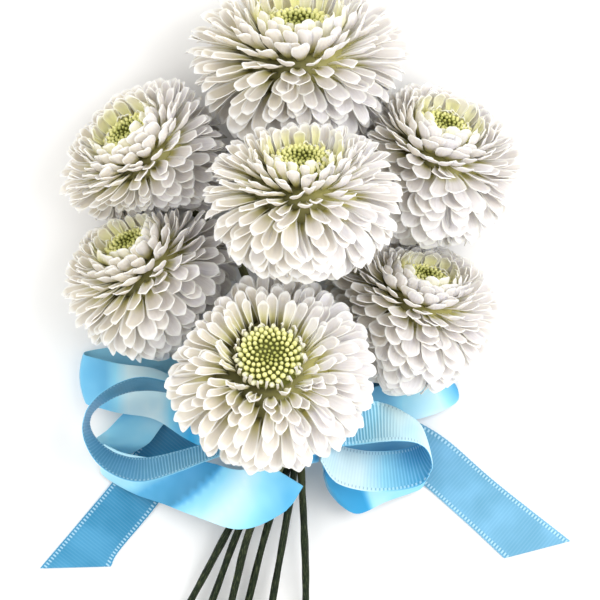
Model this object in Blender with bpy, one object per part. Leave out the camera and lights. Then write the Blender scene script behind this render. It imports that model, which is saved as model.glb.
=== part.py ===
"""A bunch of seven white pompon chrysanthemums, tied with a blue ribbon bow and lying on its back.

Run it with blender --background --python part.py, or from the text editor. Lengths are in metres.
+X runs to the right across the bunch, +Y from the cut stem ends to the blooms, and +Z up from the
surface that the bunch lies on, which is z = 0. The plan of the bunch, seen from above, is laid out
in steps of 0.377 mm (see sheet_x and sheet_y), with x to the right and y down the page.
"""

import math
import random

import bmesh
import bpy
import numpy as np
from mathutils import Vector

MM = 0.001
SHEET_STEP = 0.377 * MM  # length of one step of the plan
SHEET_MIDDLE = (305.5, 338.7)  # the plan's step that is over the origin

RIBBON_THICK = 0.8 * MM
LOOP_SECTIONS, TAIL_SECTIONS = 30, 16
STEM_DIAMETER = 3.0 * MM
GAP = 0.3 * MM  # left between neighbouring pieces
SEAT_GAP = 0.8 * MM  # left under a disc
SMOOTH_UNDER = math.radians(40)  # an edge that turns further than this stays sharp
TIE_X, TIE_Y = 287, 450  # where on the plan the stems are tied
TIE_Z = 20.5 * MM
TIE_HALF = (11.2 * MM, 14.5 * MM)  # half the width and height of the space inside the tie
STEM_STEPS = (530, 600, 697)  # how far down the plan each stem is given: the last is its cut end
STEM_POINTS, STEM_SIDES = 16, 6
KNOT_WALL, KNOT_HALF_LENGTH, KNOT_SIDES = 1.2 * MM, 5.5 * MM, 16

DISC_SHARE = 0.31  # radius of a bloom's disc of florets, as a share of the bloom's radius
FLOOR_SHARE = 0.26  # height of the disc's seat over the bloom's middle
SEAT_SHARE = 0.47  # depth of the calyx's seat under it
SEAT_WIDE = 0.16  # radius of that seat
CALYX_DEPTH = 0.17  # depth of the calyx cup under its seat
# The cup from its foot to its rim: radius, and depth under the seat, as shares of the radius.
CALYX = ((0.055, 0.16), (0.12, 0.09), (0.155, 0.01), (0.12, 0))
CALYX_SIDES = 8
CORE_SHARE = 0.64  # how far out the solid core reaches
PRESS_POWER = 10  # the higher it is, the nearer a pressed bloom comes to the plane that it meets
FRONT_SHARE = 0.60  # height of a bloom's face over its middle, as a share of its radius
# How a petal is cut across past its root: place along it, share of its full width, lift of its
# edges over its middle line and depth of its keel under that line.
PETAL_SECTIONS = ((0.66, 0.92, 1.1 * MM, 0.5 * MM), (1.0, 0.42, 0.9 * MM, 0.1 * MM))
# The rows of petals: angle of their tips from the way the bloom faces, and whether the row is one
# of the inner ones, which have fewer petals.
PETAL_ROWS = ((37, True), (57, True), (81, False), (110, False), (144, False))
PETAL_FILL = 0.94  # how much of the room beside its neighbours a petal takes

# Each bloom: x and y on the plan, height of its middle, radius, depth of its back as a share of the
# radius, where it faces (degrees away from straight up, and the compass direction of that lean),
# and how many petals are in an inner and in an outer row.
BLOOMS = {
    "top": dict(at=(299, 60), z=36 * MM, radius=42.5 * MM, back=0.85, tilt=64, lean=90, petals=(13, 19)),
    "upper_left": dict(at=(145, 156), z=33 * MM, radius=35.4 * MM, back=0.96, tilt=61, lean=129,
                       petals=(11, 16)),
    "centre": dict(at=(303, 193), z=75 * MM, radius=37.4 * MM, back=0.90, tilt=61, lean=91,
                   petals=(13, 19)),
    "lower_left": dict(at=(147, 266), z=34 * MM, radius=35.2 * MM, back=1.04, tilt=61, lean=128,
                       petals=(11, 16)),
    "front": dict(at=(271, 370), z=63 * MM, radius=40.2 * MM, back=0.72, tilt=25, lean=93,
                  petals=(14, 20)),
    "lower_right": dict(at=(414, 300), z=35 * MM, radius=34.4 * MM, back=1.08, tilt=60, lean=66,
                        petals=(11, 16)),
    "upper_right": dict(at=(435, 153), z=35 * MM, radius=34.8 * MM, back=1.20, tilt=60, lean=68,
                        petals=(11, 16)),
}
# Each stem: the way from its bloom (x, y of the plan and height in mm), its slot in the tie (mm
# across and height), and x and height at STEM_STEPS.
STEMS = {
    "top": dict(route=[(298, 200, 14), (293, 330, 15)], slot=(-1.8, 17),
                low=[(250, 12), (232, 6), (207, 1.6)]),
    "upper_left": dict(route=[(233, 250, 14), (266, 350, 19)], slot=(-3.6, 20.6),
                       low=[(239, 14), (213, 7.5), (175, 1.6)]),
    "centre": dict(route=[(303, 285, 36), (300, 315, 26), (298, 370, 21.5)], slot=(3.6, 20.6),
                   low=[(285, 15), (273, 8), (256, 1.6)]),
    "lower_left": dict(route=[(215, 370, 18)], slot=(-5.4, 17),
                       low=[(229, 10.5), (192, 6), (139, 1.6)]),
    "front": dict(route=[], slot=(0, 24.5), low=[(250, 17), (232, 9.8), (207, 5.2)]),
    "lower_right": dict(route=[(345, 396, 17.2), (312, 416, 17)], slot=(5.4, 17),
                        low=[(304, 12), (306, 6), (304, 1.6)]),
    "upper_right": dict(route=[(392, 208, 13), (328, 240, 14), (305, 330, 16)], slot=(1.8, 17),
                        low=[(267, 12), (249, 6), (224, 1.6)]),
}
# The bow, as make_strip reads it.
RIBBONS = {
    "ribbon_loop_left_front": [
        (252, 432, 27, (0, -4, 12)), (235, 414, 28, (0, -7, 19)), (200, 397, 28.5, (0, -8, 24)),
        (168, 388, 28.5, (0, -6, 24)), (137, 384, 28.5, (0, -7, 24)),
        (105, 396, 28.5, (-2.5, -4.5, 25)), (85, 417, 28.5, (-2.5, -1, 25)),
        (88, 440, 28.5, (-4, 3, 25)), (106, 461, 28.5, (-4, 8, 24)),
        (137, 471.5, 28.5, (0, 11.5, 22)), (172, 464, 29, (3, 9.5, 23)),
        (208, 452, 30, (2, 7.5, 24)), (235, 446, 31, (0, 6, 19)), (252, 442, 32, (0, 4, 12)),
    ],
    "ribbon_loop_left_back": [
        (251, 450, 15, (0, -12, 4)), (230, 440, 13.5, (0, -20, 0)), (189, 417, 12.5, (3, -24.5, 0)),
        (155, 395, 12.5, (2, -25, 0)), (119, 390, 12.5, (0, -25, 0)), (92, 383, 11, (-1, -25, 0)),
        (77, 379, 7.5, (-1, -25, 0)), (90, 376, 4, (-1, -25, 0)), (120, 372, 3, (0, -25, 0)),
        (160, 380, 3, (1, -25, 0)), (200, 400, 4, (2, -25, 0)), (235, 425, 5.5, (2, -20, 0)),
        (251, 436, 7, (0, -12, 4)),
    ],
    "ribbon_loop_left_low": [
        (287, 477, 30, (-16, -10, 5)), (271, 489, 27, (-16, -22, 0)), (240, 502, 21, (-3, -30, 0)),
        (200, 491, 15, (4, -28, 0)), (165, 484, 11, (5, -22, 11)), (130, 476, 9, (2, -19, 16)),
        (106, 464, 9.5, (8, -12, 21)), (99, 454, 9.8, (-4, -9, 22)), (108, 449, 9, (-16, -8, 14)),
        (123, 442, 8, (-22, -6, 2)), (142, 419, 7.5, (-21, -5, 0)), (163, 403, 7.5, (-13, -20, 0)),
        (200, 415, 7.5, (3, -24, 0)), (232, 438, 9, (2, -19, 0)), (251, 450, 10.5, (0, -12, 4)),
    ],
    "ribbon_tail_left": [
        (251, 430, 3, (8, 9, 4)), (225, 424, 1.6, (16, 14, 0)), (188, 430, 0.7, (19, 16, 0)),
        (165, 452, 0.7, (19, 16, 0)), (132, 497, 0.7, (19, 16, 0)), (97, 539, 0.7, (19, 16, 0)),
        (72, 571.5, 0.7, (36, -1, 0)),
    ],
    "ribbon_loop_right_front": [
        (323, 432, 30, (0, 5, 12)), (334, 428, 31, (-8, 14, 16)), (357, 424.5, 31, (-11.5, 22, 0)),
        (388, 422.5, 31, (3, 18.5, 17)), (413, 428, 30, (8, 16, 18)), (428, 443, 28, (5, 17, 18)),
        (429, 459, 26, (3, 17, 18)), (413, 469, 25, (4, 19, 16)), (375, 473, 25, (0, 20, 15)),
        (340, 466, 26, (-5, 17, 18)), (323, 452, 29, (-2, 8, 13)),
    ],
    "ribbon_loop_right_low": [
        (329, 463, 18, (2, -8, 12)), (324, 474, 17, (0, -12, 16)), (340, 495, 13, (-12, -22, 8)),
        (385, 484, 11, (-3, -20, 15)), (415, 474, 11, (-2, -20, 15)), (430, 466, 10, (0, -20, 15)),
        (424, 452, 8.5, (0, -22, 12)), (395, 446, 8, (0, -22, 12)), (350, 446, 9, (0, -16, 12)),
        (323, 446, 12, (0, -8, 10)),
    ],
    "ribbon_loop_right_back": [
        (323, 430, 11, (0, -10, 8)), (350, 416, 9.5, (0, -18, 11)), (390, 405, 7.5, (0, -21, 8)),
        (425, 401, 6, (-3, -18, 5)), (448, 392, 5.5, (-9, -14, 7)), (456, 384, 4.5, (-10, -12, 6)),
        (445, 380, 2.6, (-8, -16, 0)), (410, 382, 2.8, (-3, -21, 0)), (375, 389, 3, (0, -23, 0)),
        (340, 408, 5.2, (0, -18, 0)), (323, 422, 7.5, (0, -12, 4)),
    ],
    "ribbon_tail_right": [
        (323, 446, 2.2, (0, -12, 4)), (345, 438, 1.5, (8, -20, 0)), (385, 438, 0.9, (12, -22, 0)),
        (426, 456, 0.7, (16.3, -19.2, 0)), (482, 504, 0.7, (16.3, -19.2, 0)),
        (541, 553.5, 0.7, (33.5, -8.7, 0)),
    ],
}
LYING = ("top", "upper_left", "lower_left", "lower_right", "upper_right")
# Pairs that press on each other: the first lies over the second. The number is how far, in mm,
# the first pushes its neighbour back, and the last one leans the plane between them.
PRESSED = (
    ("centre", "top", 5, 0.0),
    ("centre", "upper_left", 3, 0.0),
    ("centre", "upper_right", 3, 0.0),
    ("centre", "lower_left", 3, 0.0),
    ("centre", "lower_right", 3, 0.0),
    ("centre", "front", 1, 0.3),
    ("front", "lower_right", 2, 0.0),
    ("lower_left", "front", 1, 0.35),
    ("lower_left", "upper_left", 2, 0.2),
    ("upper_right", "lower_right", 1, 0.2),
    ("top", "upper_left", 2, 0.0),
    ("top", "upper_right", 2, 0.0),
)

WHITE = (0.86, 0.84, 0.80)
YELLOW_GREEN = (0.62, 0.66, 0.16)
LEAF_GREEN = (0.07, 0.12, 0.04)
RIBBON_BLUE = (0.19, 0.52, 0.79)


def sheet_x(step):
    return (step - SHEET_MIDDLE[0]) * SHEET_STEP


def sheet_y(step):
    return (SHEET_MIDDLE[1] - step) * SHEET_STEP


def new_material(name, colour, roughness):
    material = bpy.data.materials.new(name)
    material.use_nodes = True
    shader = material.node_tree.nodes["Principled BSDF"]
    shader.inputs["Base Color"].default_value = (*colour, 1)
    shader.inputs["Roughness"].default_value = roughness
    shader.inputs["Metallic"].default_value = 0
    return material


def make_object(name, bm, material):
    """Turns a bmesh into an object in the scene."""
    bmesh.ops.recalc_face_normals(bm, faces=bm.faces[:])
    mesh = bpy.data.meshes.new(name)
    bm.to_mesh(mesh)
    bm.free()
    mesh.shade_smooth()
    mesh.set_sharp_from_angle(angle=SMOOTH_UNDER)
    mesh.materials.append(material)
    obj = bpy.data.objects.new(name, mesh)
    bpy.context.scene.collection.objects.link(obj)
    return obj


def join(base, other):
    """Unites the base object with another, and removes the other."""
    union = base.modifiers.new("union", "BOOLEAN")
    union.operation = "UNION"
    union.solver = "MANIFOLD"
    union.object = other
    graph = bpy.context.evaluated_depsgraph_get()
    united = bpy.data.meshes.new_from_object(base.evaluated_get(graph))
    base.modifiers.clear()
    base.data = united
    bpy.data.objects.remove(other)


def loft(bm, rings, closed=False):
    """Skins rings of vertices one after the other, with both diagonals of a band running alike."""
    pairs = list(zip(rings, rings[1:]))
    if closed:
        pairs.append((rings[-1], rings[0]))
    sides = len(rings[0])
    for near, far in pairs:
        for k in range(sides):
            a, b, c, d = near[k], near[(k + 1) % sides], far[(k + 1) % sides], far[k]
            corners = ((a, b, c), (a, c, d)) if k % 2 == 0 else ((a, b, d), (b, c, d))
            for corner in corners:
                bm.faces.new(corner)
    if not closed:
        for ring in (rings[0], rings[-1]):
            for k in range(1, sides - 1):
                bm.faces.new((ring[0], ring[k], ring[k + 1]))


def smooth_path(points, count):
    """A Catmull-Rom curve through rows of numbers, read at evenly spaced places."""
    rows = np.array(points, float)
    rows = np.vstack([2 * rows[0] - rows[1], rows, 2 * rows[-1] - rows[-2]])
    fine = []
    for a, b, c, d in zip(rows, rows[1:], rows[2:], rows[3:]):
        for t in np.linspace(0, 1, 24, endpoint=False):
            fine.append(
                0.5 * (2 * b + (c - a) * t + (2 * a - 5 * b + 4 * c - d) * t**2
                       + (3 * b - a - 3 * c + d) * t**3)
            )
    fine = np.array(fine + [rows[-2]])
    along = np.concatenate([[0], np.cumsum(np.linalg.norm(np.diff(fine[:, :3], axis=0), axis=1))])
    at = np.linspace(0, along[-1], count)
    return np.stack([np.interp(at, along, fine[:, k]) for k in range(fine.shape[1])], axis=1)


class Bloom:
    """Where a bloom is, which way it faces, and how its neighbours press it out of round."""

    def __init__(self, name, at, z, radius, back, tilt, lean, petals):
        self.name = name
        self.middle = Vector((sheet_x(at[0]), sheet_y(at[1]), z))
        self.radius = radius
        self.back = back
        self.petals = petals
        tilt, lean = math.radians(tilt), math.radians(lean)
        self.face = Vector(
            (math.sin(tilt) * math.cos(lean), math.sin(tilt) * math.sin(lean), math.cos(tilt))
        )
        self.across = Vector((0, 0, 1)).cross(self.face).normalized()
        self.up = self.face.cross(self.across)
        self.planes = []
        self.settle = 1  # stretches the half under the middle, so that the bloom meets the surface

    def outline(self, theta):
        """Distance from the middle to the petal tips, at an angle from the way it faces."""
        deep = self.radius * (FRONT_SHARE if theta < math.pi / 2 else self.back)
        return 1 / math.hypot(math.sin(theta) / self.radius, math.cos(theta) / deep)

    def reach(self, way):
        """The same along a direction in space, before anything presses on it."""
        return self.outline(self.face.angle(way))

    def press(self, point):
        """Draws a point in towards the middle, as far as the neighbours and the surface ask."""
        way = point - self.middle
        if way.length < 1e-6:
            return point
        free = self.reach(way)
        unit = way.normalized()
        closeness = free**-PRESS_POWER
        for normal, distance in self.planes:
            facing = unit.dot(normal)
            if facing > 1e-3:
                closeness += (distance / facing) ** -PRESS_POWER
        pressed = self.middle + way * (closeness ** (-1 / PRESS_POWER) / free)
        if pressed.z < self.middle.z:
            pressed.z = self.middle.z - (self.middle.z - pressed.z) * self.settle
        return pressed

    def place(self, r, around, z):
        """A point given by its radius, angle and height in the bloom's own frame."""
        own = self.middle + self.face * z
        own += (self.across * math.cos(around) + self.up * math.sin(around)) * r
        return self.press(own)


def press_together(blooms):
    """Gives each pair of touching blooms a plane between them that neither crosses."""
    for over, under, push, lean in PRESSED:
        a, b = blooms[over], blooms[under]
        line = b.middle - a.middle
        way = line.normalized()
        share = a.reach(way) / (a.reach(way) + b.reach(-way))
        at = a.middle + line * share + way * push * MM
        normal = (way - Vector((0, 0, lean))).normalized()
        a.planes.append((normal, (at - a.middle).dot(normal) - GAP / 2))
        b.planes.append((-normal, (b.middle - at).dot(normal) - GAP / 2))
    for bloom in blooms.values():
        if bloom.name in LYING:
            bloom.planes.append((Vector((0, 0, -1)), bloom.middle.z))


def petal_root(theta):
    """Where on the core the petals grow whose tips are at an angle from the way it faces."""
    return math.radians(51) + (theta - math.radians(37)) * 0.79


def petal_line(bloom, theta, t):
    """(radius, height) of a petal's middle line: t is 0 where it leaves the core, 1 at its tip."""
    share = (theta - math.radians(37)) / math.radians(80)
    foot = petal_root(theta)
    leave = foot + math.radians(-35 + 23 * share)
    arrive = theta + math.radians(-8 + 32 * share)
    out, tip = CORE_SHARE * bloom.outline(foot), bloom.outline(theta)
    root = out * np.array([math.sin(foot), math.cos(foot)])
    end = tip * np.array([math.sin(theta), math.cos(theta)])
    third = np.linalg.norm(end - root) / 3
    first = root + third * np.array([math.sin(leave), math.cos(leave)])
    last = end - third * np.array([math.sin(arrive), math.cos(arrive)])
    u = 1 - t
    return root * u**3 + 3 * first * t * u**2 + 3 * last * t**2 * u + end * t**3


def core_place(bloom, theta, around):
    out = CORE_SHARE * bloom.outline(theta)
    return bloom.place(out * math.sin(theta), around, out * math.cos(theta))


def core_angle(bloom, r):
    """The angle at which the face of the core has a given radius."""
    deep = FRONT_SHARE * bloom.radius
    return math.atan2(1, deep * math.sqrt((CORE_SHARE / r) ** 2 - 1 / bloom.radius**2))


def polar(point):
    return math.atan2(point[0], point[1])


def grow_petal(bm, bloom, theta, around, half_width, root):
    """Draws a three-cornered root out into a keeled, blunt-tipped petal."""
    rings = [root]
    for t, wide, lift, keel in PETAL_SECTIONS:
        r, z = petal_line(bloom, theta, t)
        before, after = petal_line(bloom, theta, t - 0.02), petal_line(bloom, theta, t + 0.02)
        slope = polar(after - before)
        out_r, out_z = -math.cos(slope), math.sin(slope)
        side = half_width * wide
        edge, turn = math.hypot(r, side), math.atan2(side, r)
        places = (
            (edge + out_r * lift, around - turn, z + out_z * lift),
            (edge + out_r * lift, around + turn, z + out_z * lift),
            (r - out_r * keel, around, z - out_z * keel),
        )
        rings.append([bm.verts.new(bloom.place(*place)) for place in places])
    for near, far in zip(rings, rings[1:]):
        for k in range(3):
            bm.faces.new((near[k], near[(k + 1) % 3], far[(k + 1) % 3]))
            bm.faces.new((near[k], far[(k + 1) % 3], far[k]))
    bm.faces.new(rings[-1])


def grow_row(bm, bloom, theta, count, inner, outer, middle, shift, rng):
    """A row of petals, each standing in its own cell of the core between two rings of points."""
    step = 2 * math.pi / count
    r, _ = petal_line(bloom, theta, PETAL_SECTIONS[0][0])
    half_width = PETAL_FILL * r * math.sin(step / 2)
    for k in range(count):
        a, b = inner[k], inner[(k + 1) % count]
        d, c = outer[k], outer[(k + 1) % count]
        around = step * (k + 0.75) + shift
        root = [
            bm.verts.new(core_place(bloom, middle - 0.03, around - 0.25 * step)),
            bm.verts.new(core_place(bloom, middle - 0.03, around + 0.25 * step)),
            bm.verts.new(core_place(bloom, middle + 0.06, around)),
        ]
        left, right, keel = root
        for corner in ((a, b, right), (a, right, left), (b, c, right), (c, keel, right),
                       (c, d, keel), (d, a, left), (d, left, keel)):
            bm.faces.new(corner)
        grow_petal(bm, bloom, theta + rng.uniform(-0.03, 0.03), around, half_width, root)


def stitch(bm, inner, outer):
    """Joins two rings that have different numbers of points."""
    i = j = 0
    while i < len(inner) or j < len(outer):
        if j >= len(outer) or (i < len(inner) and (i + 1) / len(inner) <= (j + 1) / len(outer)):
            bm.faces.new((inner[i % len(inner)], inner[(i + 1) % len(inner)], outer[j % len(outer)]))
            i += 1
        else:
            bm.faces.new((inner[i % len(inner)], outer[(j + 1) % len(outer)], outer[j % len(outer)]))
            j += 1


def grow_petals(bloom, rng):
    """All the white petals of a bloom, grown out of a smaller core with a seat for the disc."""
    bm = bmesh.new()
    feet = [petal_root(math.radians(degrees)) for degrees, _ in PETAL_ROWS]
    few, many = bloom.petals
    disc = (DISC_SHARE * bloom.radius + 2.6 * GAP) / math.cos(math.pi / few)
    bounds = [core_angle(bloom, disc)]
    bounds += [(a + b) / 2 for a, b in zip(feet, feet[1:])]
    bounds.append(feet[-1] + 0.5 * (feet[-1] - feet[-2]))

    def core_ring(theta, count, shift):
        step = 2 * math.pi / count
        return [bm.verts.new(core_place(bloom, theta, step * k + shift)) for k in range(count)]

    def flat_ring(r, z, count, shift):
        step = 2 * math.pi / count
        return [bm.verts.new(bloom.place(r, step * k + shift, z)) for k in range(count)]

    floor = flat_ring(disc, FLOOR_SHARE * bloom.radius - SEAT_GAP, few, 0)
    near = core_ring(bounds[0], few, 0)
    stitch(bm, floor, near)
    middle = bm.verts.new(bloom.place(0, 0, FLOOR_SHARE * bloom.radius - SEAT_GAP))
    for k in range(few):
        bm.faces.new((middle, floor[k], floor[(k + 1) % few]))
    shift, count = 0, few
    for row, (degrees, is_inner) in enumerate(PETAL_ROWS):
        wanted = few if is_inner else many
        if wanted != count:
            fresh = core_ring(bounds[row] + 0.02, wanted, shift)
            stitch(bm, near, fresh)
            near, count = fresh, wanted
        half_step = math.pi / count
        far = core_ring(bounds[row + 1], count, shift + half_step)
        grow_row(
            bm, bloom, math.radians(degrees), count, near, far, feet[row], shift, rng,
        )
        near, shift = far, shift + half_step
    seat = flat_ring(SEAT_WIDE * bloom.radius, -SEAT_SHARE * bloom.radius, count, shift)
    stitch(bm, near, seat)
    middle = bm.verts.new(bloom.place(0, 0, -SEAT_SHARE * bloom.radius))
    for k in range(count):
        bm.faces.new((middle, seat[k], seat[(k + 1) % count]))
    return bm


def turned(bloom, profile, sides, material, name):
    """Turns a closed run of (radius, height) points about the bloom's axis and presses it."""
    bm = bmesh.new()
    verts = [bm.verts.new((r, 0, z)) for r, z in profile]
    edges = [bm.edges.new(pair) for pair in zip(verts, verts[1:])]
    bmesh.ops.spin(
        bm, geom=verts + edges, cent=(0, 0, 0), axis=(0, 0, 1), angle=2 * math.pi,
        steps=sides, use_merge=True,
    )
    bmesh.ops.remove_doubles(bm, verts=bm.verts[:], dist=1e-6)
    for v in bm.verts:
        v.co = bloom.place(math.hypot(v.co.x, v.co.y), math.atan2(v.co.y, v.co.x), v.co.z)
    bmesh.ops.triangulate(bm, faces=bm.faces[:])
    return make_object(name, bm, material)


def make_disc(bloom, material):
    """The disc of florets: a low dome whose every facet is drawn out into a blunt floret."""
    bm = bmesh.new()
    wide, floor = DISC_SHARE * bloom.radius, FLOOR_SHARE * bloom.radius
    bmesh.ops.create_icosphere(bm, subdivisions=2, radius=wide)
    bmesh.ops.bisect_plane(
        bm, geom=bm.verts[:] + bm.edges[:] + bm.faces[:], plane_co=(0, 0, 0.1 * wide),
        plane_no=(0, 0, -1), clear_outer=True,
    )
    rim = [e for e in bm.edges if e.is_boundary]
    base = bmesh.ops.contextual_create(bm, geom=rim)["faces"]
    bmesh.ops.poke(bm, faces=base)
    tops = [f for f in bm.faces if f.calc_center_median().z > 0.11 * wide]
    bmesh.ops.poke(bm, faces=tops, offset=0.11 * wide)
    for v in bm.verts:
        r, around = math.hypot(v.co.x, v.co.y), math.atan2(v.co.y, v.co.x)
        dip = 0.10 * math.exp(-((r / (0.3 * wide)) ** 2))
        high = floor + (v.co.z - 0.1 * wide) * (0.60 - dip)
        v.co = bloom.place(min(r, wide), around, high)
    bmesh.ops.triangulate(bm, faces=bm.faces[:])
    return make_object(f"disc_{bloom.name}", bm, material)


def make_strip(name, stations, count, material):
    """A length of ribbon through stations: x, y of the plan, height in mm, and half of the width
    there as a vector in steps of the plan: right, down it and up from it."""
    rows = []
    for x, y, z, (right, down, up) in stations:
        side = np.array((right, -down, up)) * SHEET_STEP
        rows.append((sheet_x(x), sheet_y(y), z * MM, *side))
    line = smooth_path(rows, count)
    middles = [Vector(row[:3]) for row in line]
    bm = bmesh.new()
    rings = []
    for k, row in enumerate(line):
        side = Vector(row[3:])
        along = middles[min(k + 1, count - 1)] - middles[max(k - 1, 0)]
        out = along.cross(side).normalized() * RIBBON_THICK / 2
        corners = ((1, 1), (-1, 1), (-1, -1), (1, -1))
        rings.append([bm.verts.new(middles[k] + side * a + out * b) for a, b in corners])
    loft(bm, rings)
    return make_object(name, bm, material)


def make_knot(material):
    """The gathered centre of the bow: a band round the stems."""
    bm = bmesh.new()
    wall, half = KNOT_WALL, KNOT_HALF_LENGTH
    profile = ((0, -half), (wall, -0.85 * half), (1.6 * wall, 0), (wall, 0.85 * half), (0, half))
    rings = []
    for k in range(KNOT_SIDES):
        turn = 2 * math.pi * k / KNOT_SIDES
        ring = []
        for out, y in profile:
            across = (TIE_HALF[0] + out) * math.cos(turn)
            high = (TIE_HALF[1] + out) * math.sin(turn)
            ring.append(bm.verts.new((sheet_x(TIE_X) + across, sheet_y(TIE_Y) + y, TIE_Z + high)))
        rings.append(ring)
    loft(bm, rings, closed=True)
    return make_object("ribbon_knot", bm, material)


def make_tube(line, radius, material):
    """A round bar along a line of points."""
    bm = bmesh.new()
    rings = []
    for k, point in enumerate(line):
        along = (line[min(k + 1, len(line) - 1)] - line[max(k - 1, 0)]).normalized()
        over = along.cross(Vector((1, 0, 0))).normalized()
        beside = along.cross(over)
        ring = []
        for n in range(STEM_SIDES):
            turn = 2 * math.pi * n / STEM_SIDES
            ring.append(bm.verts.new(point + (over * math.cos(turn) + beside * math.sin(turn)) * radius))
        rings.append(ring)
    loft(bm, rings)
    return make_object("tube", bm, material)


def stem_line(bloom, facts):
    """The middle line of a stem, from inside its calyx through the tie to its cut end."""
    seat = -SEAT_SHARE * bloom.radius - GAP
    points = [
        bloom.place(0, 0, seat - CALYX_DEPTH / 2 * bloom.radius),
        bloom.place(0, 0, seat - CALYX_DEPTH * bloom.radius - 5 * MM),
    ]
    for x, y, z in facts["route"]:
        points.append(Vector((sheet_x(x), sheet_y(y), z * MM)))
    slot_x, slot_z = facts["slot"]
    points.append(Vector((sheet_x(TIE_X) + slot_x * MM, sheet_y(TIE_Y), slot_z * MM)))
    for (x, z), y in zip(facts["low"], STEM_STEPS):
        points.append(Vector((sheet_x(x), sheet_y(y), z * MM)))
    return [Vector(row) for row in smooth_path(points, STEM_POINTS)]


def make_stem(bloom, facts, material):
    """The green calyx cup behind a bloom and its stem, grown together."""
    seat = -SEAT_SHARE * bloom.radius - GAP
    cup = [(r * bloom.radius, seat - z * bloom.radius) for r, z in CALYX]
    cup = [(0, seat - CALYX_DEPTH * bloom.radius), *cup, (0, seat)]
    body = turned(bloom, cup, CALYX_SIDES, material, f"stem_{bloom.name}")
    join(body, make_tube(stem_line(bloom, facts), STEM_DIAMETER / 2, material))
    return body


def clear_scene():
    for obj in list(bpy.data.objects):
        bpy.data.objects.remove(obj)


def main():
    clear_scene()
    white = new_material("petal_white", WHITE, 0.55)
    yellow = new_material("floret_yellow_green", YELLOW_GREEN, 0.6)
    blooms = {name: Bloom(name, **facts) for name, facts in BLOOMS.items()}
    press_together(blooms)
    green = new_material("stem_green", LEAF_GREEN, 0.6)
    blue = new_material("ribbon_blue", RIBBON_BLUE, 0.35)
    for bloom in blooms.values():
        if bloom.name in LYING:
            trial = grow_petals(bloom, random.Random(bloom.name))
            lowest = min(v.co.z for v in trial.verts)
            trial.free()
            bloom.settle = bloom.middle.z / (bloom.middle.z - lowest)
        petals = grow_petals(bloom, random.Random(bloom.name))
        make_object(f"petals_{bloom.name}", petals, white)
        make_disc(bloom, yellow)
        make_stem(bloom, STEMS[bloom.name], green)
    for name, stations in RIBBONS.items():
        make_strip(name, stations, LOOP_SECTIONS if "loop" in name else TAIL_SECTIONS, blue)
    make_knot(blue)


main()
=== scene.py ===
"""Seven white pompon chrysanthemums with a blue ribbon bow, dressed over the solids of the bunch.

It is laid out as a Blender add-on and run as a script: main() registers the classes and calls the
operators in order. Lengths are in metres, in the frame of the solids. The plan of the bunch, seen
from above, is laid out in steps of 0.377 mm, with x to the right and y down the page.
"""

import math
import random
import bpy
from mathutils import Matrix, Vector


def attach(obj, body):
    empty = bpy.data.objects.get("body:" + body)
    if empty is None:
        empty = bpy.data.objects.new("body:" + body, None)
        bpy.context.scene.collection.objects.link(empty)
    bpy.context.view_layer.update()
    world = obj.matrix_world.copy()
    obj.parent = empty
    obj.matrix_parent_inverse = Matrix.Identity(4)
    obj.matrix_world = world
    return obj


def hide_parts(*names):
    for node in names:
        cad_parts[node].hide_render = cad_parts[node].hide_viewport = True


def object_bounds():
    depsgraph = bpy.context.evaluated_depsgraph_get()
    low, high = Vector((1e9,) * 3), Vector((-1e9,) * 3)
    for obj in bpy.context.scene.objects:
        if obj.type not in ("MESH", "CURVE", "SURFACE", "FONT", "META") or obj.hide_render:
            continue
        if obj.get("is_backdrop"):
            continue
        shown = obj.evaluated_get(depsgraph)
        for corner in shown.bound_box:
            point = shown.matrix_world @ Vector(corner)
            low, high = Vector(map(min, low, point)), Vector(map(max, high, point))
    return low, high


bl_info = {
    "name": "Pompon chrysanthemum bunch",
    "version": (1, 0, 0),
    "blender": (4, 5, 0),
    "location": "View3D > Sidebar > Bunch",
    "description": "Grows a hand-tied bunch of pompon chrysanthemums with a ribbon bow",
    "category": "Add Mesh",
}

import bmesh
import bpy
import numpy as np
from bpy.props import FloatProperty, FloatVectorProperty, IntProperty, PointerProperty
from mathutils import Matrix, Vector

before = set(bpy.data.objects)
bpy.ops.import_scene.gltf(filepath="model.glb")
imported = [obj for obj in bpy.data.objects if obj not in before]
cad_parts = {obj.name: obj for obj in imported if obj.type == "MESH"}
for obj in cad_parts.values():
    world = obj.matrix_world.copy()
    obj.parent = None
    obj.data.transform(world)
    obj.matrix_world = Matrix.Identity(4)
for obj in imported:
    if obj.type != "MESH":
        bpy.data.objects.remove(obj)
SOLID_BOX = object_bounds()

MM = 0.001
PLAN_STEP = 0.377 * MM  # length of one step of the plan
PLAN_MIDDLE = (305.5, 338.7)  # the plan's step that is over the origin

# How the solids are laid out, so that each piece stands where its solid stands.
GAP = 0.3 * MM  # between neighbouring nodes
TIE_X, TIE_Y, TIE_Z = 287, 450, 20.5 * MM  # the middle of the tie
TIE_HALF = (11.2 * MM, 14.5 * MM)  # its half width and half height
KNOT_HALF_LENGTH = 5.5 * MM
STEM_STEPS = (530, 600, 697)  # y of the plan of each stem's last places
# Shares of a bloom's radius: its disc, the heights of the disc's floor and of the calyx's seat
# (which is behind), the calyx's depth, and the calyx's outline as radius and depth.
DISC_SHARE, FLOOR_SHARE, SEAT_SHARE, CALYX_DEPTH = 0.31, 0.26, 0.47, 0.17
CALYX = ((0.055, 0.16), (0.12, 0.09), (0.155, 0.01), (0.12, 0))
# The core's size and the front's depth, as shares of the outline and of the radius, and how
# abruptly a bloom flattens where it meets its neighbour.
CORE_SHARE, FRONT_SHARE, PRESS_POWER = 0.55, 0.60, 10

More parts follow.
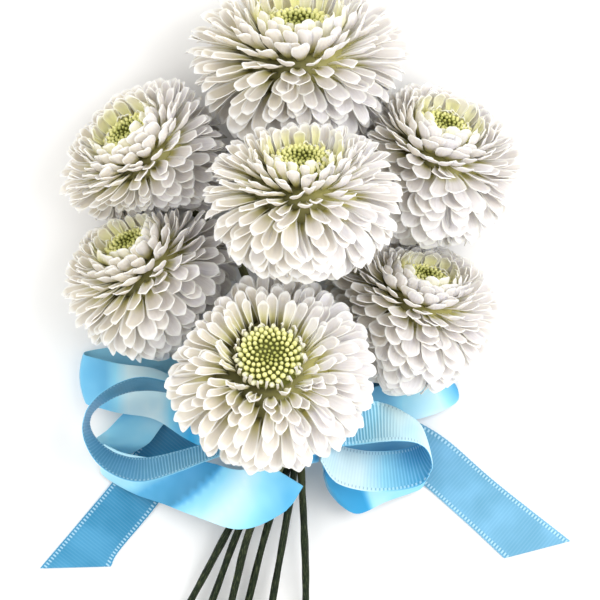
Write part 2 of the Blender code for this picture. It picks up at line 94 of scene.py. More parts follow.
# Each bloom: x and y on the plan, height of its middle and radius in mm, depth of its back as a
# share of the radius, and where it faces (degrees away from straight up, and the compass direction
# of that lean).
BLOOMS = {
    "top": ((299, 60), 36, 42.5, 0.85, 64, 90),
    "upper_left": ((145, 156), 33, 35.4, 0.96, 61, 129),
    "centre": ((303, 193), 75, 37.4, 0.90, 61, 91),
    "lower_left": ((147, 266), 34, 35.2, 1.04, 61, 128),
    "front": ((271, 370), 63, 40.2, 0.72, 25, 93),
    "lower_right": ((414, 300), 35, 34.4, 1.08, 60, 66),
    "upper_right": ((435, 153), 35, 34.8, 1.20, 60, 68),
}
# Each stem: the way from its bloom (x, y of the plan and height in mm), its slot in the tie (mm
# across and height), and x and height at STEM_STEPS.
STEMS = {
    "top": ([(298, 200, 14), (293, 330, 15)], (-1.8, 17), [(250, 12), (232, 6), (207, 1.6)]),
    "upper_left": (
        [(233, 250, 14), (266, 350, 19)], (-3.6, 20.6), [(239, 14), (213, 7.5), (175, 1.6)],
    ),
    "centre": (
        [(303, 285, 36), (300, 315, 26), (298, 370, 21.5)], (3.6, 20.6),
        [(285, 15), (273, 8), (256, 1.6)],
    ),
    "lower_left": ([(215, 370, 18)], (-5.4, 17), [(229, 10.5), (192, 6), (139, 1.6)]),
    "front": ([], (0, 24.5), [(250, 17), (232, 9.8), (207, 5.2)]),
    "lower_right": (
        [(345, 396, 17.2), (312, 416, 17)], (5.4, 17), [(304, 12), (306, 6), (304, 1.6)],
    ),
    "upper_right": (
        [(392, 208, 13), (328, 240, 14), (305, 330, 16)], (1.8, 17),
        [(267, 12), (249, 6), (224, 1.6)],
    ),
}
# Each length of ribbon: x and y on the plan and height in mm of the places it passes, with the way
# from its middle to one edge there in steps of the plan, to the right, down the page and up.
RIBBONS = {
    "loop_left_front": [
        (252, 432, 27, 0, -4, 12), (235, 414, 28, 0, -7, 19), (200, 397, 28.5, 0, -8, 24),
        (168, 388, 28.5, 0, -6, 24), (137, 384, 28.5, 0, -7, 24), (105, 396, 28.5, -2.5, -4.5, 25),
        (85, 417, 28.5, -2.5, -1, 25), (88, 440, 28.5, -4, 3, 25), (106, 461, 28.5, -4, 8, 24),
        (137, 471.5, 28.5, 0, 11.5, 22), (172, 464, 29, 3, 9.5, 23), (208, 452, 30, 2, 7.5, 24),
        (235, 446, 31, 0, 6, 19), (252, 442, 32, 0, 4, 12),
    ],
    "loop_left_back": [
        (251, 450, 15, 0, -12, 4), (230, 440, 13.5, 0, -20, 0), (189, 417, 12.5, 3, -24.5, 0),
        (155, 395, 12.5, 2, -25, 0), (119, 390, 12.5, 0, -25, 0), (92, 383, 11, -1, -25, 0),
        (77, 379, 7.5, -1, -25, 0), (90, 376, 4, -1, -25, 0), (120, 372, 3, 0, -25, 0),
        (160, 380, 3, 1, -25, 0), (200, 400, 4, 2, -25, 0), (235, 425, 5.5, 2, -20, 0),
        (251, 436, 7, 0, -12, 4),
    ],
    "loop_left_low": [
        (287, 477, 30, -16, -10, 5), (271, 489, 27, -16, -22, 0), (240, 502, 21, -3, -30, 0),
        (200, 491, 15, 4, -28, 0), (165, 484, 11, 5, -22, 11), (130, 476, 9, 2, -19, 16),
        (106, 464, 9.5, 8, -12, 21), (99, 454, 9.8, -4, -9, 22), (108, 449, 9, -16, -8, 14),
        (123, 442, 8, -22, -6, 2), (142, 419, 7.5, -21, -5, 0), (163, 403, 7.5, -13, -20, 0),
        (200, 415, 7.5, 3, -24, 0), (232, 438, 9, 2, -19, 0), (251, 450, 10.5, 0, -12, 4),
    ],
    "tail_left": [
        (251, 430, 3, 8, 9, 4), (225, 424, 1.6, 16, 14, 0), (188, 430, 0.7, 19, 16, 0),
        (165, 452, 0.7, 19, 16, 0), (132, 497, 0.7, 19, 16, 0), (97, 539, 0.7, 19, 16, 0),
        (72, 571.5, 0.7, 36, -1, 0),
    ],
    "loop_right_front": [
        (323, 432, 30, 0, 5, 12), (334, 428, 31, -8, 14, 16), (357, 424.5, 31, -11.5, 22, 0),
        (388, 422.5, 31, 3, 18.5, 17), (413, 428, 30, 8, 16, 18), (428, 443, 28, 5, 17, 18),
        (429, 459, 26, 3, 17, 18), (413, 469, 25, 4, 19, 16), (375, 473, 25, 0, 20, 15),
        (340, 466, 26, -5, 17, 18), (323, 452, 29, -2, 8, 13),
    ],
    "loop_right_low": [
        (329, 463, 18, 2, -8, 12), (324, 474, 17, 0, -12, 16), (340, 495, 13, -12, -22, 8),
        (385, 484, 11, -3, -20, 15), (415, 474, 11, -2, -20, 15), (430, 466, 10, 0, -20, 15),
        (424, 452, 8.5, 0, -22, 12), (395, 446, 8, 0, -22, 12), (350, 446, 9, 0, -16, 12),
        (323, 446, 12, 0, -8, 10),
    ],
    "loop_right_back": [
        (323, 430, 11, 0, -10, 8), (350, 416, 9.5, 0, -18, 11), (390, 405, 7.5, 0, -21, 8),
        (425, 401, 6, -3, -18, 5), (448, 392, 5.5, -9, -14, 7), (456, 384, 4.5, -10, -12, 6),
        (445, 380, 2.6, -8, -16, 0), (410, 382, 2.8, -3, -21, 0), (375, 389, 3, 0, -23, 0),
        (340, 408, 5.2, 0, -18, 0), (323, 422, 7.5, 0, -12, 4),
    ],
    "tail_right": [
        (323, 446, 2.2, 0, -12, 4), (345, 438, 1.5, 8, -20, 0), (385, 438, 0.9, 12, -22, 0),
        (426, 456, 0.7, 16.3, -19.2, 0), (482, 504, 0.7, 16.3, -19.2, 0),
        (541, 553.5, 0.7, 33.5, -8.7, 0),
    ],
}
LYING = ("top", "upper_left", "lower_left", "lower_right", "upper_right")
# Pairs that press on each other: the first lies over the second. The number is how far, in mm,
# the first pushes its neighbour back, and the last one leans the plane between them.
PRESSED = (
    ("centre", "top", 5, 0), ("centre", "upper_left", 3, 0), ("centre", "upper_right", 3, 0),
    ("centre", "lower_left", 3, 0), ("centre", "lower_right", 3, 0), ("centre", "front", 1, 0.3),
    ("front", "lower_right", 2, 0), ("lower_left", "front", 1, 0.35),
    ("lower_left", "upper_left", 2, 0.2), ("upper_right", "lower_right", 1, 0.2),
    ("top", "upper_left", 2, 0), ("top", "upper_right", 2, 0),
)

# The look of each ribbon length on its two faces, from its first station to its last: how far
# along, the tone (0 dark, 1 nearly white), which is painted sheen, highlight and shadow on the
# satin, the strength of the ribs and of the stitched edge, and how vivid the blue is. A face with
# one row looks the same all along.
RIBBON_LOOKS = {
    "loop_left_front": (
        ((0, 0.6, 0.3, 0.3),),
        ((0, 0.25, 0, 0.2), (0.1, 0.1, 0, 0.2), (0.3, 0, 0, 0.2), (0.4, 0.1, 0.1, 0.2),
         (0.46, 0.32, 0.2, 0.4), (0.55, 0.24, 0.3, 0.3), (0.68, 0.3, 0.4, 0.3),
         (0.78, 0.56, 0.8, 0.4), (1, 0.55, 1, 0.4)),
    ),
    "loop_left_back": (
        ((0, 0.6, 0, 0.3),),
        ((0, 0.75, 0, 0.9), (0.1, 0.85, 0, 1), (0.17, 0.3, 0, 1), (0.22, 0.5, 0, 1),
         (0.27, 0.95, 0, 0.9), (0.36, 1, 0, 0.8), (0.42, 0.45, 0, 0.5), (1, 0.5, 0, 0.4)),
    ),
    "loop_left_low": (
        ((0, 0.6, 0, 0.5), (0.6, 0.7, 0, 0.6), (0.68, 0.72, 0, 0.8), (0.76, 0.5, 0, 1),
         (0.82, 0.3, 0, 1), (1, 0.45, 0, 0.8)),
        ((0, 0.42, 0, 0.6), (0.06, 0.6, 0, 0.8), (0.16, 0.86, 0, 0.7), (0.25, 0.66, 0, 0.8),
         (0.27, 0.2, 0, 0.35), (0.36, 0.34, 0, 0.5), (0.4, 0.72, 0, 0.5), (0.5, 0.85, 0, 0.3),
         (0.58, 0.8, 0, 0.3), (1, 0.6, 0, 0.3)),
    ),
    "tail_left": (
        ((0, 0.1, 0.14, 0.35), (0.4, 0.1, 0.12, 0.35), (1, 0.13, 0.12, 0.35)),
        ((0, 0.4, 0.3, 0.3),),
    ),
    "loop_right_front": (
        ((0, 0.4, 0.5, 0.5), (0.52, 0.34, 0.5, 0.6), (0.62, 0.42, 0.45, 0.6),
         (0.74, 0.8, 0.25, 0.6), (0.82, 0.95, 0.1, 0.6), (1, 1, 0.1, 0.6)),
        ((0, 0.35, 1, 0.4), (0.15, 0.45, 1, 0.4), (0.24, 0.75, 0.8, 0.4), (0.31, 0.92, 0.1, 0.4),
         (0.45, 0.92, 0, 0.5), (1, 0.6, 0.2, 0.4)),
    ),
    "loop_right_low": (
        ((0, 0.5, 0, 0.6), (0.08, 0.4, 0, 0.7), (0.14, 0.22, 0, 0.7), (0.25, 0.16, 0, 0.8),
         (0.28, 0.75, 0, 0.6), (0.4, 0.72, 0, 0.4), (0.54, 0.6, 0, 0.4), (1, 0.5, 0, 0.3)),
        ((0, 0.4, 0, 0.3), (0.5, 0.42, 0, 0.1), (1, 0.42, 0, 0.1)),
    ),
    "loop_right_back": (
        ((0, 0.36, 0, 0.2), (0.24, 0.36, 0, 0.2), (0.3, 0.75, 0, 0.6), (0.42, 0.95, 0, 0.6),
         (0.5, 0.2, 0, 0.5), (1, 0.4, 0, 0.3)),
        ((0, 0.4, 0, 0.3), (1, 0.3, 0, 0.3)),
    ),
    "tail_right": (
        ((0, 0.28, 0.16, 0), (1, 0.32, 0.14, 0)),
        ((0, 0.4, 0.5, 0.3),),
    ),
}

# How far a length's painted light and shade run askew: the share of its length between the middle
# and an edge.
TONES_ASKEW = {"loop_left_low": 0.06}

GOLDEN_ANGLE = math.radians(137.508)
# Petals stand between two angles from the way a bloom faces. Opening it moves the first.
FIRST_PETAL, LAST_PETAL, OPENING = map(math.radians, (34, 155, 13))
# The first petal's foot, how far a foot moves as its petal does, and its depth in the core.
FIRST_FOOT, FOOT_PACE, FOOT_DEPTH = math.radians(48), 0.66, 0.93
# How far a petal bows, in degrees: an inner one, more for an open bloom, more for an outer one,
# and how unevenly.
INNER_BOW, OPEN_BOW, OUTER_BOW, BOW_SCATTER = -16, 30, 46, 11
# A petal's width at its foot, and how far up it is widest, narrows again and ends how wide.
FOOT_WIDTH, WIDEST_AT, TIP_FROM, TIP_WIDTH = 0.45, 0.72, 0.76, 0.20
# How a bloom's petals lie back from its disc, their breadth, how much painted light they get on the
# whole (raising their painted lit side), how green the innermost are, and how far the longest
# reach, over the outline of the solid.
HABITS = {
    "front": (1, 1, 0, 0.15, 1.01), "centre": (0.4, 1.05, 0.05, 0.9, 1.01),
    "top": (0.4, 1.1, 0.05, 0.9, 1.045), "upper_left": (0.1, 1.2, 0.05, 0.8, 1.025),
    "lower_left": (0.1, 1.2, 0.05, 0.8, 1.02), "upper_right": (0.1, 1.35, 0.25, 0.8, 1.025),
    "lower_right": (0.1, 1.35, 0.25, 0.8, 1.01),
}
PETAL_ROWS = (0, 0.25, 0.48, 0.68, 0.81, 0.90, 0.96, 1)  # where a petal is cut across
# The dome of a disc over its radius: its height, and the depth and width of the pit in it.
DOME_HEIGHT, PIT_DEPTH, PIT_WIDTH = 0.56, 0.26, 0.33
# Rows of bracts: how many, and their radius, depth and length over the radius of the bloom.
BRACTS = ((9, 0.125, 0.10, 0.15), (11, 0.15, 0.04, 0.13))
STEM_RINGS = 90
RIB_PITCH, STITCH_PITCH, WEAVE_PITCH, PLEAT_PITCH = 1.2 * MM, 1.35 * MM, 0.3 * MM, 1.05 * MM
# The hem of a ribbon begins and ends over these shares of its half width.
HEM_INNER, HEM_OUTER = (0.80, 0.84), (0.93, 0.97)
STITCHES_AT = 0.87
# Where a ribbon is cut along it, as shares of its half width.
RIBBON_PANES = (
    -1, -0.94, -STITCHES_AT, -0.80, -0.6, -0.3, 0, 0.3, 0.6, 0.80, STITCHES_AT, 0.94, 1,
)

# The picture's middle and width on the plan, and the height at which it is that wide.
VIEW_MIDDLE, VIEW_WIDTH, VIEW_LEVEL = (300, 300), 600, 45 * MM
SENSOR = 36  # width of the camera's sensor, in mm
# The lamps: name, place and size.
LAMPS = (("key", (0.50, 0.12, 0.75), 0.6), ("fill", (-0.60, 0.05, 0.70), 0.9))


def plan(x, y, z=0.0):
    """A point of space from a place on the plan and a height."""
    return np.array(((x - PLAN_MIDDLE[0]) * PLAN_STEP, (PLAN_MIDDLE[1] - y) * PLAN_STEP, z))


def smooth_path(points, count):
    """A Catmull-Rom curve through rows of numbers, read at evenly spaced places."""
    rows = np.array(points, float)
    rows = np.vstack([2 * rows[0] - rows[1], rows, 2 * rows[-1] - rows[-2]])
    fine = []
    for a, b, c, d in zip(rows, rows[1:], rows[2:], rows[3:]):
        for t in np.linspace(0, 1, 24, endpoint=False):
            fine.append(
                0.5 * (2 * b + (c - a) * t + (2 * a - 5 * b + 4 * c - d) * t**2
                       + (3 * b - a - 3 * c + d) * t**3)
            )
    fine = np.array(fine + [rows[-2]])
    along = np.concatenate([[0], np.cumsum(np.linalg.norm(np.diff(fine[:, :3], axis=0), axis=1))])
    at = np.linspace(0, along[-1], count)
    return np.stack([np.interp(at, along, fine[:, k]) for k in range(fine.shape[1])], axis=1)


def ease(x):
    """0 to 1 with a soft start and end."""
    x = np.clip(x, 0, 1)
    return x * x * (3 - 2 * x)


def unit(rows):
    """The same directions, each 1 long."""
    return rows / np.linalg.norm(rows, axis=-1, keepdims=True)


def polar(angle):
    """(radius, height) of a direction at an angle from the way a bloom faces."""
    return np.array([math.sin(angle), math.cos(angle)])


class Bloom:
    """Where a bloom is, which way it faces, and how its neighbours press it out of round."""

    def __init__(self, name, at, z, radius, back, tilt, lean):
        self.name = name
        self.middle = plan(*at, z * MM)
        self.radius = radius * MM
        self.back = back
        self.openness, self.breadth, self.paleness, self.teeth, self.reach = HABITS[name]
        tilt, lean = math.radians(tilt), math.radians(lean)
        self.face = np.array(
            (math.sin(tilt) * math.cos(lean), math.sin(tilt) * math.sin(lean), math.cos(tilt))
        )
        self.across = unit(np.cross((0, 0, 1), self.face))
        self.up = np.cross(self.face, self.across)
        self.planes = []

    def outline(self, theta):
        """Distance from the middle to the petal tips, at an angle from the way it faces."""
        deep = self.radius * np.where(np.asarray(theta) < math.pi / 2, FRONT_SHARE, self.back)
        return 1 / np.hypot(np.sin(theta) / self.radius, np.cos(theta) / deep)

    def press(self, points):
        """Draws points in towards the middle, as far as the neighbours and the surface ask."""
        way = points - self.middle
        length = np.maximum(np.linalg.norm(way, axis=1), 1e-6)
        ray = way / length[:, None]
        free = self.outline(np.arccos(np.clip(ray @ self.face, -1, 1)))
        closeness = free**-PRESS_POWER
        for normal, distance in self.planes:
            facing = ray @ normal
            met = facing > 1e-3
            closeness[met] += (distance / facing[met]) ** -PRESS_POWER
        return self.middle + way * (closeness ** (-1 / PRESS_POWER) / free)[:, None]

    def place(self, r, around, z):
        """Points given by their radius, angle and height in the bloom's own frame."""
        r, around, z = np.broadcast_arrays(
            np.atleast_1d(r).astype(float), np.atleast_1d(around), np.atleast_1d(z)
        )
        sides = self.across * np.cos(around)[:, None] + self.up * np.sin(around)[:, None]
        return self.press(self.middle + self.face * z[:, None] + sides * r[:, None])

    def own(self, points):
        """Points given in the bloom's own frame: across, up and along the way it faces."""
        x, y, z = points.T
        return self.place(np.hypot(x, y), np.arctan2(y, x), z)


def set_blooms():
    """The blooms, with a plane between each pair that touches."""
    blooms = {name: Bloom(name, *facts) for name, facts in BLOOMS.items()}
    for over, under, push, lean in PRESSED:
        a, b = blooms[over], blooms[under]
        line = b.middle - a.middle
        way = unit(line)
        mine = a.outline(math.acos(way @ a.face))
        theirs = b.outline(math.acos(-way @ b.face))
        at = a.middle + line * mine / (mine + theirs) + way * push * MM
        normal = unit(way - np.array((0, 0, lean)))
        a.planes.append((normal, (at - a.middle) @ normal - GAP / 2))
        b.planes.append((-normal, (b.middle - at) @ normal - GAP / 2))
    for name in LYING:
        blooms[name].planes.append((np.array((0, 0, -1.0)), blooms[name].middle[2]))
    return blooms


# Shader helpers


class Shader:
    """Builds a material's nodes one after the other."""

    def __init__(self, name, **settings):
        self.material = bpy.data.materials.new(name)
        self.material.use_nodes = True
        tree = self.material.node_tree
        self.nodes, self.links = tree.nodes, tree.links
        self.shader = self.nodes["Principled BSDF"]
        for socket, value in settings.items():
            self.shader.inputs[socket.replace("_", " ")].default_value = value

    def put(self, socket, source):
        if isinstance(source, bpy.types.NodeSocket):
            self.links.new(source, socket)
        elif hasattr(source, "__len__") and len(source) == 3 and socket.type == "RGBA":
            socket.default_value = (*source, 1)
        else:
            socket.default_value = source

    def node(self, kind, *sources, output=0, **settings):
        """Adds a node and feeds its sockets in order, apart from those given as None."""
        node = self.nodes.new("ShaderNode" + kind)
        for name, value in settings.items():
            setattr(node, name, value)
        for socket, source in zip(node.inputs, sources):
            if source is not None:
                self.put(socket, source)
        return node.outputs[output]

    def calc(self, operation, *sources):
        return self.node("Math", *sources, operation=operation)

    def times(self, a, b):
        return self.calc("MULTIPLY", a, b)

    def wave(self, value, length):
        return self.calc("SINE", self.times(value, math.tau / length))

    def mix(self, factor, a, b):
        """From colour a to colour b, which are the seventh and eighth sockets."""
        return self.node("Mix", factor, *[None] * 5, a, b, data_type="RGBA", output=2)

    def between(self, value, low, high, start=0, end=1, kind="SMOOTHSTEP"):
        return self.node("MapRange", value, low, high, start, end, interpolation_type=kind)

    def ramp(self, value, stops):
        node = self.nodes.new("ShaderNodeValToRGB")
        elements = node.color_ramp.elements
        while len(elements) < len(stops):
            elements.new(0.5)
        for element, (place, colour) in zip(elements, stops):
            element.position = place
            element.color = (*colour, 1)
        self.put(node.inputs[0], value)
        return node.outputs[0]

    def attribute(self, name):
        """The three numbers of a vector attribute."""
        split = self.nodes.new("ShaderNodeSeparateXYZ")
        self.put(split.inputs[0], self.node("Attribute", attribute_name=name, output="Vector"))
        return split.outputs

    def noise(self, scale, detail):
        """Noise over the object's own coordinates."""
        return self.node("TexNoise", self.node("TexCoord", output="Object"), None, scale, detail)

    def grain(self, detail, x, y, z):
        """Noise over three values."""
        return self.node("TexNoise", self.node("CombineXYZ", x, y, z), None, 1, detail)

    def fade(self, value, low, high):
        """1 where the value is low, and 0 where it is high."""
        return self.between(value, low, high, 1, 0)

    def finish(self, colour, roughness, height=None, strength=0, distance=0):
        """Feeds the shader, and gives back its material."""
        self.put(self.shader.inputs["Base Color"], colour)
        self.put(self.shader.inputs["Roughness"], roughness)
        if height is not None:
            bump = self.node("Bump", strength, distance, None, height)
            self.put(self.shader.inputs["Normal"], bump)
        return self.material


def petal_material(hues):
    """White with a creamy rim under a painted highlight, painted lit towards +x and in painted
    shade away from it, with painted shade at the roots, and a green trough that reaches further up
    the inner petals and further still on the shaded side.
    """
    kit = Shader(
        "petal", Subsurface_Weight=0.45, Subsurface_Radius=(1, 0.9, 0.65),
        Subsurface_Scale=0.0018, Specular_IOR_Level=0.25,
    )
    across, along, inner = kit.attribute("petal")
    chance, lit_side, teeth = kit.attribute("chance")
    tipward = kit.between(along, 0.55, 1, kind="LINEAR")
    edge = kit.calc("MAXIMUM", kit.calc("ABSOLUTE", across), tipward)
    # Painted highlight along the rims and tips of the petals.
    rim = kit.between(edge, 0.66, 0.93)
    # Painted light and shade: petals pointing towards +x are painted lit and those pointing away
    # are painted in shade, in the body colour, the green trough and the roots.
    shaded = kit.fade(lit_side, 0.3, 0.85)
    # The green trough is the petals' own colour, and reaches further up on the painted shaded side.
    reach = kit.calc("MULTIPLY_ADD", inner, 0.3, kit.calc("MULTIPLY_ADD", shaded, 0.16, 0.16))
    green = kit.between(kit.calc("DIVIDE", along, reach), 0.3, 1.35, 0.95, 0)
    green = kit.times(green, kit.between(edge, 0.4, 0.95, 1, 0.3))
    veins = kit.calc("MULTIPLY_ADD", across, 5, kit.times(chance, 90))
    veins = kit.grain(2, veins, kit.times(along, 0.8), inner)
    shade = kit.calc("MULTIPLY_ADD", chance, 0.35, kit.times(shaded, 0.65))
    body = kit.mix(shade, hues.petal_white, hues.petal_shade)
    body = kit.mix(kit.between(veins, 0.35, 0.7, 0, 0.35), body, hues.petal_vein)
    base = kit.mix(green, kit.mix(rim, body, hues.petal_rim_highlight), hues.petal_foot)
    tooth = kit.times(teeth, kit.between(inner, 0.93, 1))
    tooth = kit.times(tooth, kit.between(along, 0.55, 0.97, 1, 0.25))
    base = kit.mix(tooth, base, hues.floret_tip)
    # Painted shade at the petal roots and over the core, nearly black on the painted shaded side.
    deep = kit.fade(along, 0.04, kit.calc("MULTIPLY_ADD", inner, 0.16, 0.24))
    deep = kit.times(deep, kit.calc("MULTIPLY_ADD", shaded, 0.95, 0.03))
    base = kit.mix(deep, base, hues.petal_root_shade)
    return kit.finish(base, kit.between(veins, 0.3, 0.7, 0.48, 0.58), veins, 0.35, 0.0006)


def floret_material(hues):
    """Yellow-green buds with paler tips, the outer ones whiter and those by the pit darker, with
    painted shade at their feet and on the dome seen between them.
    """
    kit = Shader(
        "floret", Subsurface_Weight=0.2, Subsurface_Radius=(1, 0.9, 0.4),
        Subsurface_Scale=0.0008, Specular_IOR_Level=0.3,
    )
    tip, out, chance = kit.attribute("floret")
    body = kit.mix(kit.between(out, 0.05, 0.5), hues.floret_pit_and_gap_shade, hues.floret_green)
    head = kit.mix(kit.between(out, 0.05, 0.45), hues.floret_green, hues.floret_tip)
    head = kit.mix(kit.between(out, 0.7, 1.05), head, hues.floret_rim)
    base = kit.mix(kit.between(tip, 0.48, 0.86), body, head)
    base = kit.mix(kit.times(chance, 0.2), base, hues.floret_green)
    # Painted shade at the feet of the florets and on the dome seen between them.
    base = kit.mix(kit.between(tip, 0.15, 0.55, 0.9, 0), base, hues.floret_pit_and_gap_shade)
    return kit.finish(base, 0.5, kit.noise(1500, 2), 0.2, 0.0003)


def stem_material(hues):
    """Dark ridged green with olive flecks, and a pale cut end."""
    kit = Shader("stem", Specular_IOR_Level=0.15)
    around, along, cut = kit.attribute("stem")
    streak = kit.grain(4, kit.times(around, 7), kit.times(along, 60), 0)
    stops = (0.35, hues.stem_dark), (0.5, hues.stem_green), (0.7, hues.stem_fleck)
    base = kit.ramp(streak, stops)
    base = kit.mix(kit.between(kit.noise(140, 3), 0.5, 0.75, 0, 0.8), base, hues.stem_dark)
    young = kit.between(along, 0.3, 0.55, 0.85, 0)
    base = kit.mix(young, base, kit.mix(streak, hues.stem_fleck, hues.stem_young))
    base = kit.mix(cut, base, hues.stem_cut)
    return kit.finish(base, kit.between(streak, 0.3, 0.8, 0.42, 0.7), streak, 0.6, 0.0005)


def ribbon_material(hues):
    """Satin where the ribs are weak, and cross-ribbed with stitched edges where they are strong,
    with its sheen, highlights and shadows painted from its tone.
    """
    kit = Shader(
        "ribbon", Specular_IOR_Level=0.25, Sheen_Weight=0.05, Sheen_Roughness=0.4,
        Anisotropic=0.4,
    )
    across, along, _ = kit.attribute("ribbon")
    tone, ribbed, vivid = kit.attribute("look")
    cloud = kit.grain(2, kit.times(across, 0.5), kit.times(along, 60), vivid)
    # The tone is painted sheen, highlight and shadow on the satin; the ramps run from painted shade
    # up to painted highlight.
    tone = kit.calc("ADD", tone, kit.between(cloud, 0.3, 0.7, -0.06, 0.06))
    muted = kit.ramp(tone, (
        (0, hues.ribbon_shade), (0.35, hues.ribbon_grey), (0.7, hues.ribbon_light),
        (1, hues.ribbon_highlight),
    ))
    bright = kit.ramp(tone, (
        (0, hues.ribbon_deep_shade), (0.35, hues.ribbon_blue), (0.7, hues.ribbon_sky),
        (1, hues.ribbon_highlight),
    ))
    base = kit.mix(vivid, muted, bright)
    rib = kit.wave(along, RIB_PITCH)
    edge = kit.calc("ABSOLUTE", across)
    field = kit.times(ribbed, kit.fade(edge, *HEM_INNER))
    groove = kit.times(kit.fade(rib, -0.7, 0.7), field)
    base = kit.mix(kit.times(groove, 0.62), base, hues.ribbon_groove)
    # Painted highlight on the crests of the ribs.
    crest = kit.times(kit.between(rib, 0.2, 0.9), field)
    base = kit.mix(kit.times(crest, 0.3), base, hues.ribbon_highlight)
    hem = kit.times(kit.between(edge, *HEM_INNER), kit.fade(edge, *HEM_OUTER))
    thread = kit.wave(along, STITCH_PITCH)
    hem = kit.times(hem, kit.between(ribbed, 0, 0.1))
    stitch = kit.times(hem, kit.between(thread, -0.1, 0.4))
    base = kit.mix(kit.times(stitch, 0.5), base, hues.ribbon_stitch)
    hole = kit.times(hem, kit.fade(thread, -0.9, -0.2))
    base = kit.mix(kit.times(hole, 0.45), base, hues.ribbon_groove)
    weave = kit.calc("SINE", kit.times(across, 80))
    weave = kit.times(kit.times(weave, kit.wave(along, WEAVE_PITCH)), 0.1)
    height = kit.calc("ADD", kit.times(rib, field), weave)
    return kit.finish(base, kit.between(ribbed, 0, 1, 0.32, 0.55), height, 0.6, 0.00012)


def floor_material(colour):
    """Matt and pale, with a faint unevenness."""
    kit = Shader("floor", Specular_IOR_Level=0.1)
    worn = tuple(0.985 * value for value in colour)
    return kit.finish(kit.mix(kit.between(kit.noise(5, 3), 0.4, 0.7), colour, worn), 0.9)


# Mesh helpers


def stand(name, data, at=(0, 0, 0)):
    """Puts an object in the scene."""
    thing = bpy.data.objects.new(name, data)
    thing.location = at
    bpy.context.scene.collection.objects.link(thing)
    return thing


def add_mesh(name, bm, material):
    """Turns a bmesh into an object of the scene."""
    mesh = bpy.data.meshes.new(name)
    bm.to_mesh(mesh)
    bm.free()
    mesh.materials.append(material)
    return stand(name, mesh)


def finish_piece(name, bm, material, node):
    """Turns a bmesh into a finished piece that stands for a node of the solids."""
    bmesh.ops.recalc_face_normals(bm, faces=bm.faces[:])
    piece = add_mesh(name, bm, material)
    piece.data.shade_smooth()
    piece.data.set_sharp_from_angle(angle=math.radians(60))
    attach(piece, "root")
    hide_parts(node)
    return piece


def dress_blooms(grow, sizes, material, piece, node):
    """Makes one piece for each bloom, named after it and standing for its node."""
    for name, bloom in set_blooms().items():
        finish_piece(f"{piece}_{name}", grow(bloom, sizes), material, f"{node}_{name}")
    return {"FINISHED"}


def start_mesh(*names):
    """A bmesh and vectors on its vertices, for the materials to read."""
    bm = bmesh.new()
    return bm, *(bm.verts.layers.float_vector.new(name) for name in names)


def thicken(bm, faces, thickness):
    bmesh.ops.recalc_face_normals(bm, faces=faces)
    bmesh.ops.solidify(bm, geom=faces, thickness=thickness)


def get_points(verts):
    return np.array([vert.co[:] for vert in verts])


def set_points(verts, points):
    for vert, point in zip(verts, points):
        vert.co = point


def spin(bm, profile, axis, steps):
    """Turns a row of points right round an axis, into a skin that closes on itself."""
    verts = [bm.verts.new(point) for point in profile]
    edges = [bm.edges.new(pair) for pair in zip(verts, verts[1:])]
    bmesh.ops.spin(
        bm, geom=verts + edges, cent=(0, 0, 0), axis=axis, angle=math.tau, steps=steps,
        use_merge=True,
    )


def petal_path(bloom, theta, stretch, bend, t):
    """(radius, height) along a petal's middle line: t is 0 at its root and 1 at its tip."""
    foot = FIRST_FOOT + (theta - FIRST_PETAL) * FOOT_PACE
    root = CORE_SHARE * FOOT_DEPTH * float(bloom.outline(foot)) * polar(foot)
    tip = stretch * float(bloom.outline(theta)) * polar(theta)
    chord = tip - root
    turn = math.atan2(chord[0], chord[1])
    third = np.linalg.norm(chord) / 3
    first = root + third * polar(turn - bend)
    last = tip - third * polar(turn + bend)
    t = t[:, None]
    return root * (1 - t)**3 + 3 * first * t * (1 - t)**2 + 3 * last * t**2 * (1 - t) + tip * t**3


